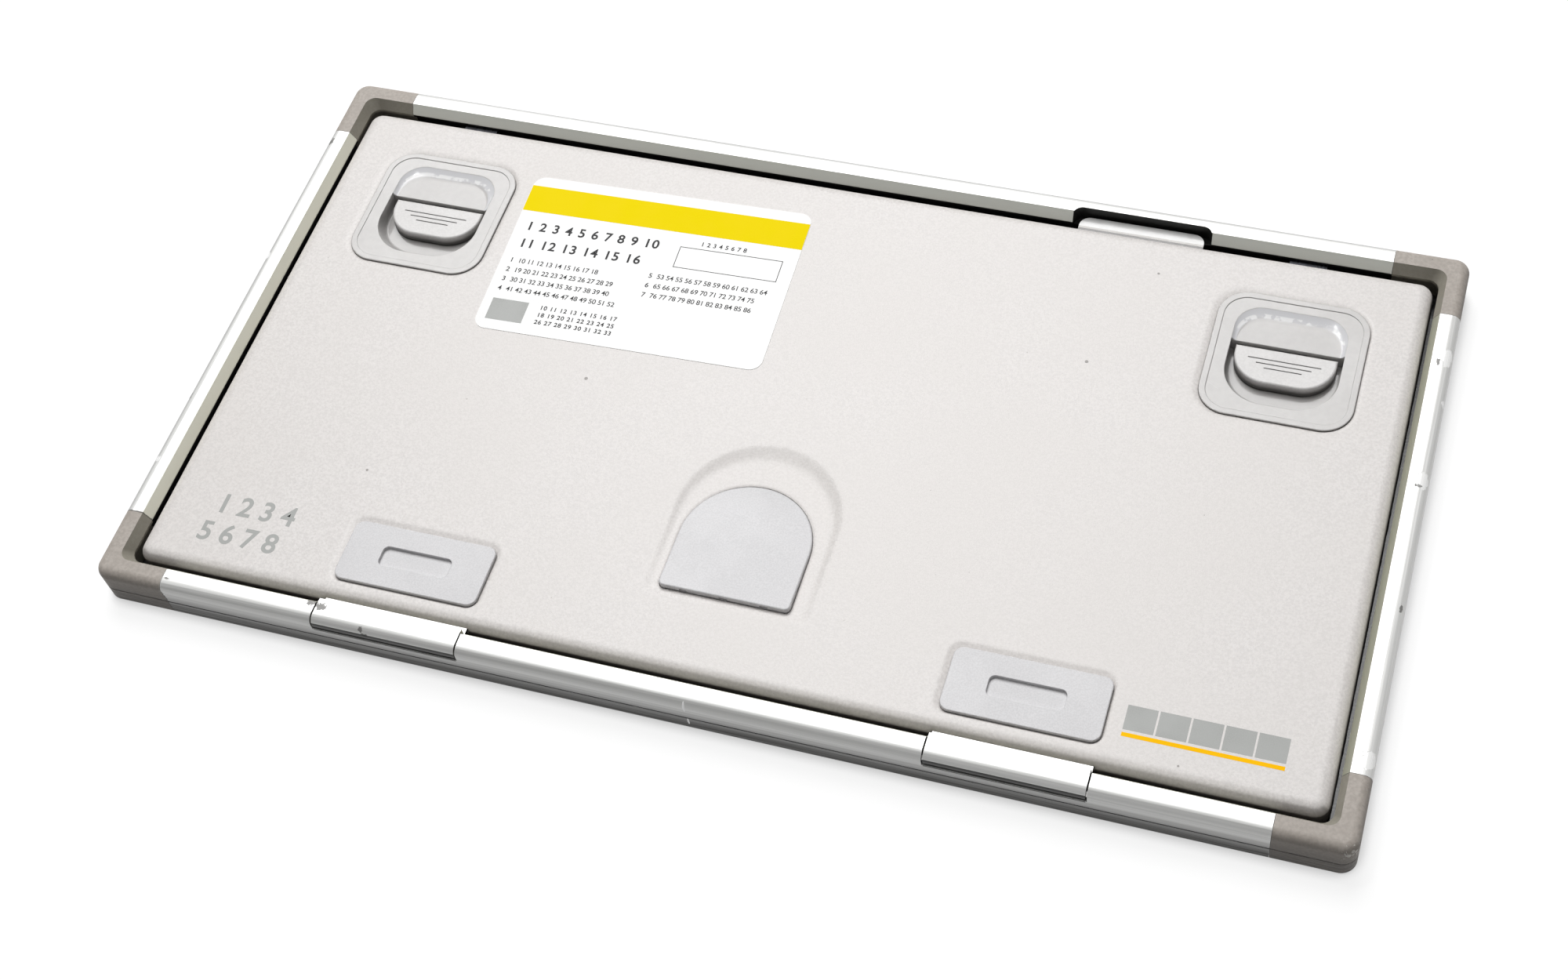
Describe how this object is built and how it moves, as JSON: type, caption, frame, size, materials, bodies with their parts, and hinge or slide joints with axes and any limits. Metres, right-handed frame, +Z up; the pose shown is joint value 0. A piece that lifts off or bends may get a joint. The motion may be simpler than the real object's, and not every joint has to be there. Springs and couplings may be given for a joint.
{
  "type": "x-ray film cassette",
  "caption": "Flat x-ray film cassette: aluminium rail frame with plastic corners, hinged enamelled lid with sliding latches, hinge covers and a raised D-shaped cap.",
  "frame": {"origin": "centre of the underside, on the plane the cassette lies on", "axes": "+X along the long side, towards the lid's right latch; +Y from the hinges to the latches; +Z up, out of the lid"},
  "size_m": [0.325, 0.175, 0.0125],
  "materials": {
    "rail_aluminium": "satin",
    "knuckle_aluminium": "satin",
    "corner_plastic": "matte",
    "panel_carbon": "satin",
    "screen_white": "satin",
    "seal_plush": "matte",
    "steel": "satin",
    "lid_enamel": "satin",
    "trim_plastic": "satin",
    "button_plastic": "satin",
    "tab_plastic": "gloss",
    "label_film": "satin",
    "lead": "matte",
    "foam": "matte",
    "plate_aluminium": "satin"
  },
  "bodies": {
    "frame": {"back_rail": "rail_aluminium", "corner_back_left": "corner_plastic", "corner_back_right": "corner_plastic", "corner_front_left": "corner_plastic", "corner_front_right": "corner_plastic", "front_panel": "panel_carbon", "front_rail": "rail_aluminium", "front_screen": "screen_white", "hinge_pin_left": "steel", "hinge_pin_right": "steel", "left_rail": "rail_aluminium", "right_rail": "rail_aluminium", "seal_back": "seal_plush", "seal_front": "seal_plush", "seal_left": "seal_plush", "seal_right": "seal_plush"},
    "lid": {"centre_cap": "trim_plastic", "centre_screw": "steel", "hinge_cover_left": "trim_plastic", "hinge_cover_right": "trim_plastic", "hinge_knuckle_left": "knuckle_aluminium", "hinge_knuckle_right": "knuckle_aluminium", "hinge_rivets": "knuckle_aluminium", "label": "label_film", "latch_bezel_left": "trim_plastic", "latch_bezel_right": "trim_plastic", "latch_spring_left": "steel", "latch_spring_right": "steel", "lead_sheet": "lead", "lid_shell": "lid_enamel", "lift_tab": "tab_plastic", "plate_screws": "steel", "pressure_foam": "foam", "pressure_plate": "plate_aluminium", "rear_screen": "screen_white"},
    "latch_left": {"latch_button_left": "button_plastic", "latch_bolt_left": "steel"},
    "latch_right": {"latch_button_right": "button_plastic", "latch_bolt_right": "steel"}
  },
  "joints": [
    {"name": "lid_hinge", "type": "hinge", "parent": "frame", "child": "lid", "pos_m": [0, -0.0862, 0.0097], "axis": [1, 0, 0], "range_deg": [0, 110]},
    {"name": "latch_left_slide", "type": "slide", "parent": "lid", "child": "latch_left", "axis": [0, -1, 0], "range_m": [0, 0.003], "stiffness_N_per_m": 250, "springref_m": -0.004, "deforming": ["latch_spring_left"]},
    {"name": "latch_right_slide", "type": "slide", "parent": "lid", "child": "latch_right", "axis": [0, -1, 0], "range_m": [0, 0.003], "stiffness_N_per_m": 250, "springref_m": -0.004, "deforming": ["latch_spring_right"]}
  ]
}
